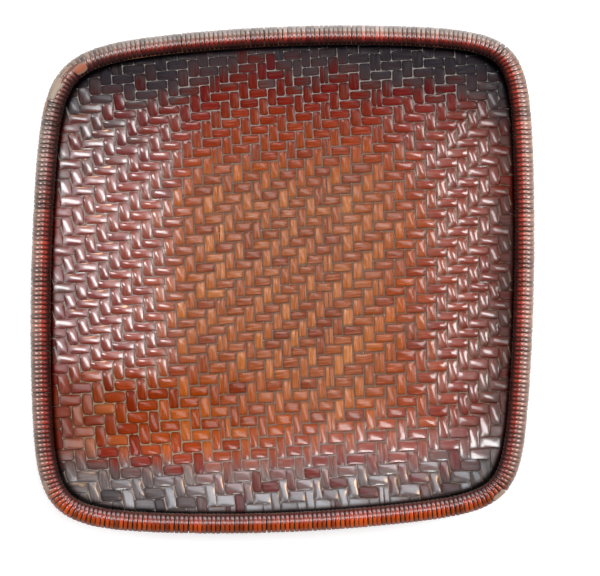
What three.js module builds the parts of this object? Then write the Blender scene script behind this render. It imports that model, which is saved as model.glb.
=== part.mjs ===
// A square winnowing tray with round corners, made of split bamboo and cane.
// A woven mat forms a shallow dish. Its edge is held between two bamboo hoops, with a thin cane laid
// in the groove above it, and sixteen lengths of split cane are wound round all three.
//
// Millimetres. +Z is up, +X is to the right and +Y is the back. The origin is the middle of the flat
// underside that the tray rests on.

import * as THREE from 'three';

// The tray as a whole
const trayWidth = 420;
const trayDepth = 420.8;
const trayHeight = 56;

// Its outline. The sides bow out by hand, so the outline falls back by the bow on its way from the
// middle of a side to a corner, and it leans a little, because the tray has been pulled out of square.
const sideBow = 9.9;
const endBow = 13.9;
const sideLean = 3.4;
const endLean = 7.6;
const backRightSquareness = 9.3;
const backLeftSquareness = 8.4;
const frontLeftSquareness = 8.6;
const frontRightSquareness = 9.9;

// The rim, measured over the lashing
const rimWidth = 16.7;
const rimHeight = 15;
const hoopShoulder = 0.9;
const hoopScarf = 50;
const fillerButt = 0.4;

// The lashing. It is wound close, and each ridge of the model stands for two of its turns.
const caneThickness = 1;
const turnRelief = 0.4;
const turnsPerLength = 24;
const turnsPerRidge = 2;
const lengthsPerSide = 4;
const lashingGap = 0.4;

// The mat, two strips thick, and the shape of its dish. The floor is flat out to floorRadius, and
// from there wallRise bends it upwards and wallTurn stands it upright under the rim.
const matThickness = 1.8;
const floorRadius = 72;
const wallRise = 2.4;
const wallTurn = 1.35;
const matFootDrop = 0.6;

// The weave's relief. Its ridges go over two and under two, and each stands for two strips. It ends
// where a spot is the share weaveReach of the way out to the rim, and the mat is plain from there.
const ridgeWidth = 17;
const uprightLean = 0.016;
const crosspieceLean = 0.07;
const ridgeShoulder = 3.4;
const faceRelief = 0.7;
const underRelief = 0.5;
const weaveReach = 0.895;

// Room left between pieces that lie against each other
const clearance = 0.35;

// How finely the curves are cut
const outlineSamples = 1440;
const cornerSteps = 12;
const sideSteps = 3;
const dishRings = 9;
const firstPlainRing = 6;
const slopeNudge = 0.2;
const sectionSides = 8;
const sectionStep = THREE.MathUtils.degToRad(49);
const fillerSides = 6;

const lengthCount = 4 * lengthsPerSide;
const ridgesPerLength = turnsPerLength / turnsPerRidge;
const quarterTurn = Math.PI / 2;

// Bare bamboo for the hidden pieces, and lacquer for those that show
const bamboo = (color) => new THREE.MeshStandardMaterial({ color, roughness: 0.55, metalness: 0 });
const lacqueredCane = () => new THREE.MeshStandardMaterial({ color: 0x8c3323, roughness: 0.3, metalness: 0 });
const lacqueredMat = () => new THREE.MeshStandardMaterial({ color: 0xa2553a, roughness: 0.35, metalness: 0 });

// The outline

// The squareness of the corner that an angle points to
function squarenessAt(angle) {
  const right = Math.cos(angle) >= 0;
  const back = Math.sin(angle) >= 0;
  if (back) return right ? backRightSquareness : backLeftSquareness;
  return right ? frontRightSquareness : frontLeftSquareness;
}

// A point on the rim's outer edge: a rounded square, then its bow, then its lean
function outerEdge(angle) {
  const power = squarenessAt(angle);
  const across = Math.abs(Math.cos(angle)) ** power;
  const along = Math.abs(Math.sin(angle)) ** power;
  const reach = (across + along) ** (-1 / power);
  const squareX = reach * Math.cos(angle);
  const squareY = reach * Math.sin(angle);
  const x = squareX * (trayWidth / 2 - sideBow * squareY ** 2);
  const y = squareY * (trayDepth / 2 - endBow * squareX ** 2);
  const leanX = sideLean * y / (trayDepth / 2);
  const leanY = endLean * x / (trayWidth / 2);
  return new THREE.Vector2(x + leanX, y + leanY);
}

// The rim's centre line, half a rim inside that edge, as close points counted from the back right corner
function sampleCentreLine() {
  const points = [];
  const nudge = Math.PI / outlineSamples;
  for (let i = 0; i < outlineSamples; i += 1) {
    const angle = quarterTurn / 2 + 2 * Math.PI * i / outlineSamples;
    const ahead = outerEdge(angle + nudge).sub(outerEdge(angle - nudge)).normalize();
    const outward = new THREE.Vector2(ahead.y, -ahead.x);
    points.push(outerEdge(angle).addScaledVector(outward, -rimWidth / 2));
  }
  const box = new THREE.Box2().setFromPoints(points);
  const middle = box.getCenter(new THREE.Vector2());
  return points.map((point) => point.sub(middle));
}

const centreLine = sampleCentreLine();
const distances = [0];
for (let i = 1; i <= outlineSamples; i += 1) {
  const step = centreLine[i % outlineSamples].distanceTo(centreLine[i - 1]);
  distances.push(distances[i - 1] + step);
}
const rimLength = distances[outlineSamples];
const lengthSpan = rimLength / lengthCount;

// The point at a distance along the centre line
function pointAlong(distance) {
  const wrapped = THREE.MathUtils.euclideanModulo(distance, rimLength);
  const next = distances.findIndex((value) => value > wrapped);
  const share = (wrapped - distances[next - 1]) / (distances[next] - distances[next - 1]);
  return centreLine[next - 1].clone().lerp(centreLine[next % outlineSamples], share);
}

// Stations are the corners of the polygon that every piece of the rim follows. They lie close where a
// length of lashing rounds a corner of the tray, and wide along the sides.
const stations = [];
const firstStation = [];
for (let length = 0; length < lengthCount; length += 1) {
  const steps = length % lengthsPerSide === 0 ? cornerSteps : sideSteps;
  firstStation.push(stations.length);
  for (let i = 0; i < steps; i += 1) {
    stations.push(pointAlong((length - 0.5 + i / steps) * lengthSpan));
  }
}
const stationCount = stations.length;
firstStation.push(stationCount);

const stationAt = (index) => stations[THREE.MathUtils.euclideanModulo(index, stationCount)];

// The way out of the rim at a station, as long as keeps the pieces' sides parallel to the polygon's
function mitreAt(index) {
  const before = stationAt(index).clone().sub(stationAt(index - 1)).normalize();
  const after = stationAt(index + 1).clone().sub(stationAt(index)).normalize();
  const outBefore = new THREE.Vector2(before.y, -before.x);
  const outAfter = new THREE.Vector2(after.y, -after.x);
  const stretch = 1 / (1 + outBefore.dot(outAfter));
  return outBefore.add(outAfter).multiplyScalar(stretch);
}

const mitres = stations.map((_, index) => mitreAt(index));
const mitreOf = (index) => mitres[THREE.MathUtils.euclideanModulo(index, stationCount)];

// A point of the rim: how many stations along, how far out from the centre line, and how high
function place(station, out, height) {
  const whole = Math.floor(station);
  const from = stationAt(whole).clone().addScaledVector(mitreOf(whole), out);
  const to = stationAt(whole + 1).clone().addScaledVector(mitreOf(whole + 1), out);
  const point = from.lerp(to, station - whole);
  return new THREE.Vector3(point.x, point.y, height);
}

// How many stations a distance in millimetres is, at a place on the rim
function stationsFor(millimetres, station) {
  const whole = Math.floor(station);
  return millimetres / stationAt(whole).distanceTo(stationAt(whole + 1));
}

// The rim's section

const rimMiddle = trayHeight - rimHeight / 2;
const slotHalf = matThickness / 2 + clearance;
const sideAngle = quarterTurn - 1.5 * sectionStep;
const crownAngle = quarterTurn - 0.5 * sectionStep;

// The rim's outline at a depth below its surface, from the slot under the outer hoop over the top
// to the slot under the inner hoop, as distances out from and up from the rim's middle
function rimSection(inset) {
  const reachOut = (rimWidth / 2 - inset) / Math.cos(sideAngle);
  const reachUp = (rimHeight / 2 - inset) / Math.sin(crownAngle);
  const slotDrop = reachUp * Math.sqrt(1 - (slotHalf / reachOut) ** 2);
  const points = [[slotHalf, -slotDrop]];
  for (let i = 1; i < sectionSides - 1; i += 1) {
    const angle = quarterTurn + (i - (sectionSides - 1) / 2) * sectionStep;
    points.push([reachOut * Math.cos(angle), reachUp * Math.sin(angle)]);
  }
  points.push([-slotHalf, -slotDrop]);
  return points;
}

const hoopRoom = rimSection(caneThickness + clearance);
const hoopCrown = hoopRoom[sectionSides / 2 - 1];
const hoopSection = [...hoopRoom.slice(0, sectionSides / 2), [slotHalf, hoopShoulder]];

// The cane in the groove between the hoops' shoulders is as thick as the groove lets it be
const shoulderSlope = Math.atan2(hoopCrown[1] - hoopShoulder, hoopCrown[0] - slotHalf);
const grooveWidth = hoopCrown[0] * Math.sin(shoulderSlope);
const fillerRadius = (grooveWidth - clearance) / (1 + Math.cos(shoulderSlope));
const fillerMiddle = hoopCrown[1] - fillerRadius;

// Meshes from rings of points. Stations run anticlockwise round the tray as seen from above, and the
// points of a ring run anticlockwise as seen looking that way along the rim.

// A mesh with flat sides from its points and its triangles
function meshFromFaces(points, faces, material, name) {
  const geometry = new THREE.BufferGeometry();
  const flat = points.flatMap((point) => point.toArray());
  geometry.setAttribute('position', new THREE.Float32BufferAttribute(flat, 3));
  geometry.setIndex(faces.flat());
  geometry.computeVertexNormals();
  const mesh = new THREE.Mesh(geometry, material);
  mesh.name = name;
  return mesh;
}

// Two triangles between neighbouring points of two rings
function quad(faces, nearA, nearB, farA, farB) {
  faces.push([nearA, farB, nearB]);
  faces.push([nearA, farA, farB]);
}

// A bar with closed ends that follows the rings in turn. Its section is convex.
function barThroughRings(rings, material, name) {
  const sides = rings[0].length;
  const faces = [];
  for (let ring = 0; ring + 1 < rings.length; ring += 1) {
    for (let side = 0; side < sides; side += 1) {
      const near = ring * sides + side;
      const nearNext = ring * sides + (side + 1) % sides;
      quad(faces, near, nearNext, near + sides, nearNext + sides);
    }
  }
  const last = (rings.length - 1) * sides;
  for (let side = 1; side + 1 < sides; side += 1) {
    faces.push([0, side, side + 1]);
    faces.push([last, last + side + 1, last + side]);
  }
  return meshFromFaces(rings.flat(), faces, material, name);
}

// Hoops and filler

// A hoop goes once round the tray and its ends meet in a long slanting cut. The section is given for
// the outer hoop, and outward is 1 for it and -1 for the inner one, which is its mirror image.
function makeHoop(outward, meetingStation, material, name) {
  const section = outward > 0 ? hoopSection : hoopSection.map(([out, up]) => [-out, up]).reverse();
  const outs = section.map(([out]) => out);
  const thickness = Math.max(...outs) - Math.min(...outs);
  const middleOut = (Math.max(...outs) + Math.min(...outs)) / 2;
  const scarf = stationsFor(hoopScarf, meetingStation);
  const gap = stationsFor(clearance * hoopScarf / thickness, meetingStation);
  const ring = (station, slant) => section.map(([out, up]) => {
    const shift = slant * scarf * (out - middleOut) / thickness;
    return place(station + shift, out, rimMiddle + up);
  });
  const rings = [ring(meetingStation + gap / 2, 1)];
  const firstWhole = Math.floor(meetingStation + gap / 2 + scarf / 2) + 1;
  const lastWhole = Math.ceil(meetingStation + stationCount - gap / 2 - scarf / 2) - 1;
  for (let station = firstWhole; station <= lastWhole; station += 1) {
    rings.push(ring(station, 0));
  }
  rings.push(ring(meetingStation + stationCount - gap / 2, 1));
  return barThroughRings(rings, material, name);
}

// The filler is a thin round cane whose ends butt together
function makeFiller(meetingStation, material, name) {
  const gap = stationsFor(fillerButt, meetingStation);
  const ring = (station) => {
    const points = [];
    for (let side = 0; side < fillerSides; side += 1) {
      const angle = 2 * Math.PI * side / fillerSides;
      const out = fillerRadius * Math.cos(angle);
      const up = fillerMiddle + fillerRadius * Math.sin(angle);
      points.push(place(station, out, rimMiddle + up));
    }
    return points;
  };
  const rings = [ring(meetingStation + gap / 2)];
  const lastWhole = Math.ceil(meetingStation + stationCount - gap / 2) - 1;
  for (let station = Math.floor(meetingStation) + 1; station <= lastWhole; station += 1) {
    rings.push(ring(station));
  }
  rings.push(ring(meetingStation + stationCount - gap / 2));
  return barThroughRings(rings, material, name);
}

// Lashing

// One length of cane, as a sleeve round the hoops. It is open below, where the mat passes between
// the hoops, and its outside is ridged by the turns. The two skins have rings of their own: the
// outside has two to a ridge, and the inside has one at each station, which are fewer.
function makeLashing(number, name) {
  const first = firstStation[number];
  const last = firstStation[number + 1];
  const trim = stationsFor(lashingGap / 2, first);
  const start = first + trim;
  const end = last - trim;
  const outerSteps = 2 * ridgesPerLength;
  const outerStations = [];
  for (let i = 0; i <= outerSteps; i += 1) {
    const station = first + (last - first) * i / outerSteps;
    outerStations.push(THREE.MathUtils.clamp(station, start, end));
  }
  const innerStations = [];
  for (let station = first; station <= last; station += 1) {
    innerStations.push(THREE.MathUtils.clamp(station, start, end));
  }
  const ringAt = (station, section) => (
    section.map(([out, up]) => place(station, out, rimMiddle + up))
  );
  const ridge = rimSection(0);
  const valley = rimSection(turnRelief);
  const bore = rimSection(caneThickness);
  const outerRings = outerStations.map((station, i) => ringAt(station, i % 2 === 0 ? valley : ridge));
  const innerRings = innerStations.map((station) => ringAt(station, bore));
  const points = [...outerRings.flat(), ...innerRings.flat()];
  const outerIndex = (ring, side) => ring * sectionSides + side;
  const innerIndex = (ring, side) => outerRings.length * sectionSides + ring * sectionSides + side;
  const faces = [];
  for (let side = 0; side + 1 < sectionSides; side += 1) {
    for (let ring = 0; ring + 1 < outerRings.length; ring += 1) {
      quad(faces, outerIndex(ring, side), outerIndex(ring, side + 1),
        outerIndex(ring + 1, side), outerIndex(ring + 1, side + 1));
    }
    for (let ring = 0; ring + 1 < innerRings.length; ring += 1) {
      quad(faces, innerIndex(ring, side + 1), innerIndex(ring, side),
        innerIndex(ring + 1, side + 1), innerIndex(ring + 1, side));
    }
    quad(faces, innerIndex(0, side), innerIndex(0, side + 1), outerIndex(0, side), outerIndex(0, side + 1));
    const lastOuter = outerRings.length - 1;
    const lastInner = innerRings.length - 1;
    quad(faces, outerIndex(lastOuter, side), outerIndex(lastOuter, side + 1),
      innerIndex(lastInner, side), innerIndex(lastInner, side + 1));
  }
  const innerSteps = innerRings.length - 1;
  const endSide = sectionSides - 1;
  const lip = (side) => lipFaces(innerSteps, outerSteps, (ring) => innerIndex(ring, side),
    (ring) => outerIndex(ring, side));
  faces.push(...lip(endSide));
  faces.push(...lip(0).map(([a, b, c]) => [a, c, b]));
  return meshFromFaces(points, faces, lacqueredCane(), name);
}

// The lip of a sleeve joins a skin with few rings to one with many: each step of the few is a fan
function lipFaces(fewSteps, manySteps, fewIndex, manyIndex) {
  const faces = [];
  const ratio = manySteps / fewSteps;
  for (let step = 0; step < fewSteps; step += 1) {
    for (let many = step * ratio; many < (step + 1) * ratio; many += 1) {
      faces.push([fewIndex(step), manyIndex(many), manyIndex(many + 1)]);
    }
    faces.push([fewIndex(step), manyIndex((step + 1) * ratio), fewIndex(step + 1)]);
  }
  return faces;
}

// Mat

const slotFoot = -rimSection(0)[0][1];
const matFloor = matThickness / 2;
const matFoot = rimMiddle - slotFoot - matFootDrop;
const matTop = rimMiddle + fillerMiddle - fillerRadius - clearance;
const meanReach = (trayWidth - rimWidth) / 2;
const floorShare = floorRadius / meanReach;

// How high the dish is at a share of the way from the edge of its flat floor to the rim
function dishHeight(share) {
  const climb = 1 - (1 - share ** wallRise) ** (1 / wallTurn);
  return matFloor + (matFoot - matFloor) * climb;
}

// The plain rings of the dish, from the end of the weave to the mat's cut edge between the hoops. Each
// has its share of the way out to the rim, its height and its slope, and they lie closer near the rim.
function dishProfile() {
  const rings = [];
  const nudge = 0.002;
  for (let i = firstPlainRing; i <= dishRings; i += 1) {
    const share = Math.sin(quarterTurn * i / dishRings);
    const before = share - nudge;
    const after = Math.min(share + nudge, 1);
    const run = (after - before) * (meanReach - floorRadius);
    const upright = i === dishRings;
    const slope = Math.atan2(dishHeight(after) - dishHeight(before), run);
    rings.push({
      reach: floorShare + (1 - floorShare) * share,
      height: dishHeight(share),
      slope: upright ? quarterTurn : slope,
    });
  }
  rings.push({ reach: 1, height: matTop, slope: quarterTurn });
  return rings;
}

// The share of the way out to the rim's centre line at a spot seen from above
function reachOf(spot) {
  for (let station = 0; station < stationCount; station += 1) {
    const from = stationAt(station);
    const to = stationAt(station + 1);
    if (from.cross(spot) >= 0 && spot.cross(to) > 0) {
      const side = to.clone().sub(from);
      return spot.cross(side) / from.cross(side);
    }
  }
  return 0;
}

// A point of the mat at an offset from its middle layer, square to the dish, above a spot
function pointOnMat(spot, offset) {
  const heightAt = (x, y) => {
    const share = (reachOf(new THREE.Vector2(x, y)) - floorShare) / (1 - floorShare);
    return dishHeight(Math.max(share, 0));
  };
  const span = 2 * slopeNudge;
  const riseX = (heightAt(spot.x + slopeNudge, spot.y) - heightAt(spot.x - slopeNudge, spot.y)) / span;
  const riseY = (heightAt(spot.x, spot.y + slopeNudge) - heightAt(spot.x, spot.y - slopeNudge)) / span;
  const up = new THREE.Vector3(-riseX, -riseY, 1).normalize();
  return new THREE.Vector3(spot.x, spot.y, heightAt(spot.x, spot.y)).addScaledVector(up, offset);
}

// Where the borders of two ridges cross, seen from above. Uprights are counted to the right and
// crosspieces to the back, and the borders lie halfway between the whole numbers.
function borderCrossing(upright, crosspiece) {
  const x = ridgeWidth * (upright - uprightLean * crosspiece) / (1 + uprightLean * crosspieceLean);
  return new THREE.Vector2(x, crosspiece * ridgeWidth + crosspieceLean * x);
}

// A crossing is woven where all four of its corners are inside the weave's reach
function isWoven(upright, crosspiece) {
  return [-0.5, 0.5].every((right) => [-0.5, 0.5].every((back) => (
    reachOf(borderCrossing(upright + right, crosspiece + back)) < weaveReach
  )));
}

// The ridges that show on one skin of the mat, as blocks of one or two crossings. On the face an
// upright shows over two crosspieces, the next upright one further back, and the underside shows
// what the face hides.
function ridgesOfSkin(isFace) {
  const ridges = [];
  const most = Math.ceil(meanReach / ridgeWidth) + 2;
  for (let upright = -most; upright <= most; upright += 1) {
    for (let crosspiece = -most; crosspiece <= most; crosspiece += 1) {
      const beat = THREE.MathUtils.euclideanModulo(upright - crosspiece, 4);
      const isUpright = (beat < 2) === isFace;
      const isFirst = (beat % 2 === 1) === isUpright;
      const step = isUpright ? [0, 1] : [1, 0];
      const nextIsWoven = isWoven(upright + step[0], crosspiece + step[1]);
      const lastIsWoven = isWoven(upright - step[0], crosspiece - step[1]);
      if (isWoven(upright, crosspiece) && (isFirst || !lastIsWoven)) {
        const isLong = isFirst && nextIsWoven;
        const size = isLong ? [1 + step[0], 1 + step[1]] : [1, 1];
        ridges.push({ left: upright - 0.5, front: crosspiece - 0.5, size });
      }
    }
  }
  return ridges;
}

// The border of a block, anticlockwise seen from above, as four sides of whole steps
function bordersOf({ left, front, size: [wide, deep] }) {
  const right = left + wide;
  const back = front + deep;
  const side = (from, to, steps) => Array.from({ length: steps + 1 }, (_, i) => [
    from[0] + (to[0] - from[0]) * i / steps, from[1] + (to[1] - from[1]) * i / steps,
  ]);
  return [
    side([left, front], [right, front], wide),
    side([right, front], [right, back], deep),
    side([right, back], [left, back], wide),
    side([left, back], [left, front], deep),
  ];
}

// One skin of the mat's weave: each ridge has a flat crown, and its sides fall to the creases. Gives
// back the border of the whole weave, as the numbers of its points, anticlockwise seen from above.
function addWeave(points, faces, isFace) {
  const middleToCrown = matThickness / 2;
  const middleToCrease = middleToCrown - (isFace ? faceRelief : underRelief);
  const sign = isFace ? 1 : -1;
  const creasePoints = new Map();
  const crease = ([upright, crosspiece]) => {
    const key = `${upright} ${crosspiece}`;
    if (!creasePoints.has(key)) {
      creasePoints.set(key, points.length);
      points.push(pointOnMat(borderCrossing(upright, crosspiece), sign * middleToCrease));
    }
    return creasePoints.get(key);
  };
  const addFace = (a, b, c) => faces.push(isFace ? [a, b, c] : [a, c, b]);
  const nextOnBorder = new Map();
  const shoulder = ridgeShoulder / ridgeWidth;
  ridgesOfSkin(isFace).forEach((ridge) => {
    const { left, front, size: [wide, deep] } = ridge;
    const crown = points.length;
    const crownCorners = [
      [left + shoulder, front + shoulder], [left + wide - shoulder, front + shoulder],
      [left + wide - shoulder, front + deep - shoulder], [left + shoulder, front + deep - shoulder],
    ];
    crownCorners.forEach(([upright, crosspiece]) => {
      points.push(pointOnMat(borderCrossing(upright, crosspiece), sign * middleToCrown));
    });
    addFace(crown, crown + 1, crown + 2);
    addFace(crown, crown + 2, crown + 3);
    bordersOf(ridge).forEach((border, side) => {
      const near = crown + side;
      const far = crown + (side + 1) % 4;
      const low = border.map(crease);
      addFace(low[0], low[1], near);
      addFace(low[1], far, near);
      for (let i = 1; i + 1 < low.length; i += 1) {
        addFace(low[i], low[i + 1], far);
      }
      for (let i = 0; i + 1 < low.length; i += 1) {
        nextOnBorder.set(`${low[i]} ${low[i + 1]}`, [low[i], low[i + 1]]);
      }
    });
  });
  const outer = new Map();
  nextOnBorder.forEach(([from, to]) => {
    if (!nextOnBorder.has(`${to} ${from}`)) outer.set(from, to);
  });
  const loop = [outer.keys().next().value];
  while (outer.get(loop[loop.length - 1]) !== loop[0]) {
    loop.push(outer.get(loop[loop.length - 1]));
  }
  return loop;
}

// The triangles between the weave's border and the first plain ring, both anticlockwise seen from
// above. They walk round both loops at once, and each takes the shorter way across that turns left.
function bandFaces(points, border, ring) {
  const turn = (a, b, c) => {
    const [from, middle, to] = [points[a], points[b], points[c]];
    return (middle.x - from.x) * (to.y - from.y) - (middle.y - from.y) * (to.x - from.x);
  };
  const distance = (a, b) => points[a].distanceTo(points[b]);
  const nearest = ring.reduce((best, index) => (
    distance(index, border[0]) < distance(best, border[0]) ? index : best
  ));
  const ringStart = ring.indexOf(nearest);
  const faces = [];
  let inner = 0;
  let outer = 0;
  while (inner < border.length || outer < ring.length) {
    const low = border[inner % border.length];
    const lowNext = border[(inner + 1) % border.length];
    const high = ring[(ringStart + outer) % ring.length];
    const highNext = ring[(ringStart + outer + 1) % ring.length];
    const innerTurns = inner < border.length && turn(low, high, lowNext) > 0;
    const outerTurns = outer < ring.length && turn(high, highNext, low) > 0;
    const innerIsShorter = distance(lowNext, high) < distance(highNext, low);
    if (innerTurns && (innerIsShorter || !outerTurns)) {
      faces.push([low, high, lowNext]);
      inner += 1;
    } else if (outerTurns) {
      faces.push([high, highNext, low]);
      outer += 1;
    } else {
      throw new Error('the band between the weave and the plain rings folds over');
    }
  }
  return faces;
}

// The mat is a shell: its underside and its face lie half its thickness to either side of the dish
function makeMat() {
  const profile = dishProfile();
  const points = [];
  const faces = [];
  const skin = (isFace) => {
    const side = isFace ? -1 : 1;
    const weaveBorder = addWeave(points, faces, isFace);
    const first = points.length;
    profile.forEach((ring, ringNumber) => {
      const out = side * Math.sin(ring.slope) * matThickness / 2;
      const isTop = ringNumber === profile.length - 1;
      const drop = isTop ? 0 : side * Math.cos(ring.slope) * matThickness / 2;
      for (let station = 0; station < stationCount; station += 1) {
        const spot = stationAt(station).clone().multiplyScalar(ring.reach);
        spot.addScaledVector(mitreOf(station), out);
        points.push(new THREE.Vector3(spot.x, spot.y, ring.height - drop));
      }
    });
    const plainRing = Array.from({ length: stationCount }, (_, station) => first + station);
    bandFaces(points, weaveBorder, plainRing).forEach(([a, b, c]) => {
      faces.push(isFace ? [a, b, c] : [a, c, b]);
    });
    return first;
  };
  const under = skin(false);
  const face = skin(true);
  const index = (first, ring, station) => first + ring * stationCount + station % stationCount;
  for (let station = 0; station < stationCount; station += 1) {
    for (let ring = 0; ring + 1 < profile.length; ring += 1) {
      quad(faces, index(under, ring, station + 1), index(under, ring, station),
        index(under, ring + 1, station + 1), index(under, ring + 1, station));
      quad(faces, index(face, ring, station), index(face, ring, station + 1),
        index(face, ring + 1, station), index(face, ring + 1, station + 1));
    }
    const top = profile.length - 1;
    quad(faces, index(under, top, station + 1), index(under, top, station),
      index(face, top, station + 1), index(face, top, station));
  }
  return meshFromFaces(points, faces, lacqueredMat(), 'woven_mat');
}

// The tray put together. The outer hoop's ends meet on the left, the inner hoop's on the right and
// the filler's at the front, each in the middle of a side.

// Side 0 is the back, and the others follow it anticlockwise
const middleOfSide = (side) => {
  const length = side * lengthsPerSide + lengthsPerSide / 2;
  return (firstStation[length] + firstStation[length + 1]) / 2;
};
const leftSide = 1;
const frontSide = 2;
const rightSide = 3;

const tray = new THREE.Group();
tray.add(makeMat());
tray.add(makeHoop(1, middleOfSide(leftSide), bamboo(0xa8814f), 'outer_hoop'));
tray.add(makeHoop(-1, middleOfSide(rightSide), bamboo(0x9c7546), 'inner_hoop'));
tray.add(makeFiller(middleOfSide(frontSide), bamboo(0xb08a58), 'rim_filler'));
for (let number = 0; number < lengthCount; number += 1) {
  tray.add(makeLashing(number, `lashing_${String(number + 1).padStart(2, '0')}`));
}

export default tray;
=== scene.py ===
# %% [markdown]
# # A lacquered winnowing tray
#
# A winnowing tray is woven, not built. Split bamboo strips are laid over two and under two of each other,
# the mat is pressed into a dish, and its edge is clamped between two hoops that split cane binds all round.
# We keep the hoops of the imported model, and weave the mat and wind the binding strip by strip, because the
# light on each strip is what makes such a tray look like one.

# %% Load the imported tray
import math
import types

import bpy
import numpy as np
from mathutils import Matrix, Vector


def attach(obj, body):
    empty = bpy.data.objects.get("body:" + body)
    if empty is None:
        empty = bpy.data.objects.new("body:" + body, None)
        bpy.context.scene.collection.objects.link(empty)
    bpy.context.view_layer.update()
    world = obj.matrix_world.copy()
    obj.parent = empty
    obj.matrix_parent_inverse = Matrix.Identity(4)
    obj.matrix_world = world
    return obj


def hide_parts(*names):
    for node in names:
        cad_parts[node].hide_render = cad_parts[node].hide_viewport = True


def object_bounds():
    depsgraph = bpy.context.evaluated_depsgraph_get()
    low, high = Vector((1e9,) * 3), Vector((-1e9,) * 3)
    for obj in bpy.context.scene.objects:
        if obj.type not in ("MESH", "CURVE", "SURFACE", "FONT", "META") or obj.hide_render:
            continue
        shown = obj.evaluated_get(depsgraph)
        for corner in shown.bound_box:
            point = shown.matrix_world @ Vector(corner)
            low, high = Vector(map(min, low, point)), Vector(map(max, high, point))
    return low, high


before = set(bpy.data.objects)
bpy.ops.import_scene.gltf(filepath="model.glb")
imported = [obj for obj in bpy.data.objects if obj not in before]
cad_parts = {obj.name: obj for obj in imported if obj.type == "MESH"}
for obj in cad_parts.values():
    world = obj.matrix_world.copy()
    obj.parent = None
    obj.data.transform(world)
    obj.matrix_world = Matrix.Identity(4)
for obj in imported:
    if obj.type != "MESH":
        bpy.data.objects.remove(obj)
cad_low, cad_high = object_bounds()
tray_width = cad_high.x - cad_low.x
tray_depth = cad_high.y - cad_low.y
tray_height = cad_high.z - cad_low.z
mm = tray_width / 420
print(f"tray {tray_width * 1000:.1f} x {tray_depth * 1000:.1f} x {tray_height * 1000:.1f} mm")

# %% [markdown]
# ## The rim's line
#
# Seen from above, the rim is a rounded square that a maker bent by eye: its sides bow outwards, it leans a
# little to one side and its four corners differ. One formula says all of that. It could be drawn as a curve
# with handles, but a formula also tells how far any spot of the mat lies from the rim, and the dish needs
# that.

# %% Outline of the rim
rim_width = 16.7 * mm
rim_height = 15 * mm
rim_middle = tray_height - rim_height / 2
side_bow = 9.9 * mm
end_bow = 13.9 * mm
side_lean = 3.4 * mm
end_lean = 7.6 * mm
corner_squareness = {"back right": 9.3, "back left": 8.4, "front left": 8.6, "front right": 9.9}
outline_steps = 1440


def outer_edge(angle):
    """Points on the rim's outer edge, at angles round the tray's middle."""
    right = np.cos(angle) >= 0
    back = np.sin(angle) >= 0
    back_power = np.where(right, corner_squareness["back right"], corner_squareness["back left"])
    front_power = np.where(right, corner_squareness["front right"], corner_squareness["front left"])
    power = np.where(back, back_power, front_power)
    size = np.abs(np.cos(angle)) ** power + np.abs(np.sin(angle)) ** power
    square_x = size ** (-1 / power) * np.cos(angle)
    square_y = size ** (-1 / power) * np.sin(angle)
    x = square_x * (tray_width / 2 - side_bow * square_y ** 2)
    y = square_y * (tray_depth / 2 - end_bow * square_x ** 2)
    return np.stack((x + side_lean * y / (tray_depth / 2), y + end_lean * x / (tray_width / 2)), axis=-1)


angles = math.pi / 4 + 2 * math.pi * np.arange(outline_steps) / outline_steps
nudge = math.pi / outline_steps
ahead = outer_edge(angles + nudge) - outer_edge(angles - nudge)
ahead /= np.linalg.norm(ahead, axis=1, keepdims=True)
outward = np.stack((ahead[:, 1], -ahead[:, 0]), axis=1)
rim_line = outer_edge(angles) - outward * rim_width / 2
rim_line -= (rim_line.max(axis=0) + rim_line.min(axis=0)) / 2
steps_between = np.linalg.norm(np.roll(rim_line, -1, axis=0) - rim_line, axis=1)
rim_distances = np.concatenate(([0], np.cumsum(steps_between)))
rim_length = rim_distances[-1]
print(f"the rim's middle runs {rim_length * 1000:.0f} mm round")

# %% Places on and inside the rim
closed_line = np.concatenate((rim_line, rim_line[:1]))
closed_outward = np.concatenate((outward, outward[:1]))
polar_angles = np.unwrap(np.arctan2(closed_line[:, 1], closed_line[:, 0]))
polar_lengths = np.hypot(closed_line[:, 0], closed_line[:, 1])


def on_rim(distance):
    """The rim's middle and the way out there, at distances anticlockwise from the back right corner."""
    spot = np.mod(distance, rim_length)
    place = [np.interp(spot, rim_distances, closed_line[:, axis]) for axis in (0, 1)]
    out = [np.interp(spot, rim_distances, closed_outward[:, axis]) for axis in (0, 1)]
    return np.stack(place, axis=-1), np.stack(out, axis=-1)


def rim_reach(x, y):
    """How far the rim's middle lies from the tray's middle, in the direction of a spot."""
    angle = np.arctan2(y, x)
    turn = polar_angles[0] + np.mod(angle - polar_angles[0], 2 * math.pi)
    return np.interp(turn, polar_angles, polar_lengths)


# %% [markdown]
# ## The dish
#
# The mat is flat in the middle and climbs ever more steeply to the rim, where it stands upright between the
# hoops. The height depends only on the share of the way to the rim, so the same curve serves all four
# sides.

# %% Height of the dish
mat_thickness = 1.8 * mm
floor_radius = 72 * mm
floor_share = floor_radius / ((tray_width - rim_width) / 2)
wall_rise = 2.4
wall_turn = 1.35
mat_floor = mat_thickness / 2
mat_foot = rim_middle - 8.75 * mm
slot_height = 8 * mm
slot_share = 0.04


def dish_height(reach):
    """The height of the mat's middle layer, this share of the way from the tray's middle to the rim."""
    share = np.clip((reach - floor_share) / (1 - floor_share), 0, 1)
    climb = 1 - (1 - share ** wall_rise) ** (1 / wall_turn)
    upright = np.clip((reach - 1) / slot_share, 0, 1) * slot_height
    return mat_floor + (mat_foot - mat_floor) * climb + upright


# %% [markdown]
# ## The camera
#
# The tray is looked at from straight above, a little right of and below its middle. The camera comes before
# the weaving, because the strips were counted where this view shows them: further down in the dish they
# look smaller, and the weave undoes that.

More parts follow.
